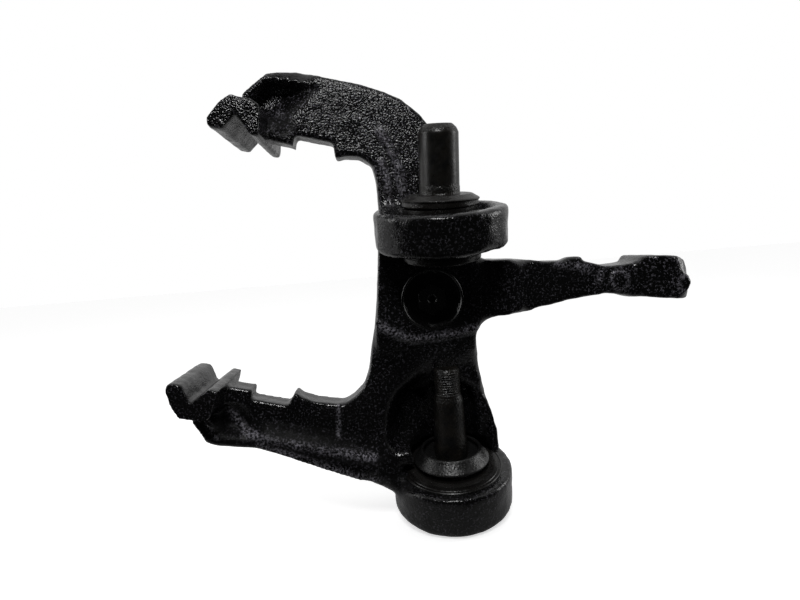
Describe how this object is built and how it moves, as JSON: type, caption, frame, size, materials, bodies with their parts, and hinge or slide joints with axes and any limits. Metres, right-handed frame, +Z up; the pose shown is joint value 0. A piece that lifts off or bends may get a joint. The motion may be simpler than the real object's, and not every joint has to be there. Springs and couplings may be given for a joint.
{
  "type": "steering knuckle",
  "caption": "Forged steering knuckle with a wheel spindle, a C-shaped brake caliper bracket, a steering arm and two pressed-in ball joints on the kingpin axis.",
  "frame": {"origin": "on the wheel spindle's axis, at the shoulder where the inner wheel bearing stops", "axes": "+Y outboard along the spindle, +Z up, +X from the caliper bracket towards the tie-rod end of the steering arm"},
  "size_m": [0.284, 0.203, 0.251],
  "materials": {
    "forging_paint": "semi-gloss black paint over a rough forged skin",
    "housing_steel": "black coated, turned",
    "stud_steel": "dark oiled, turned and ground",
    "cover_steel": "pressed sheet, dark coated",
    "spring_steel": "tempered",
    "bearing_iron": "sintered, oiled"
  },
  "bodies": {
    "knuckle": {"knuckle_forging": "forging_paint", "upper_joint_housing": "housing_steel", "upper_joint_end_cap": "housing_steel", "upper_joint_spring": "spring_steel", "upper_joint_bottom_seat": "bearing_iron", "upper_joint_top_seat": "bearing_iron", "lower_joint_housing": "housing_steel", "lower_joint_end_cap": "housing_steel", "lower_joint_spring": "spring_steel", "lower_joint_bottom_seat": "bearing_iron", "lower_joint_top_seat": "bearing_iron", "lower_retaining_ring": "cover_steel"},
    "upper_stud": {"upper_ball_stud": "stud_steel", "upper_dust_plate": "cover_steel"},
    "lower_stud": {"lower_ball_stud": "stud_steel", "lower_dust_cover": "cover_steel"}
  },
  "joints": [
    {"name": "upper_ball_joint", "type": "hinge", "parent": "knuckle", "child": "upper_stud", "pos_m": [0.0056, -0.05835, 0.03739], "axis": [0.0258, -0.1582, 0.9871], "continuous": true},
    {"name": "lower_ball_joint", "type": "hinge", "parent": "knuckle", "child": "lower_stud", "pos_m": [0.0056, -0.02899, -0.10379], "axis": [0, -0.1416, 0.9899], "continuous": true}
  ]
}
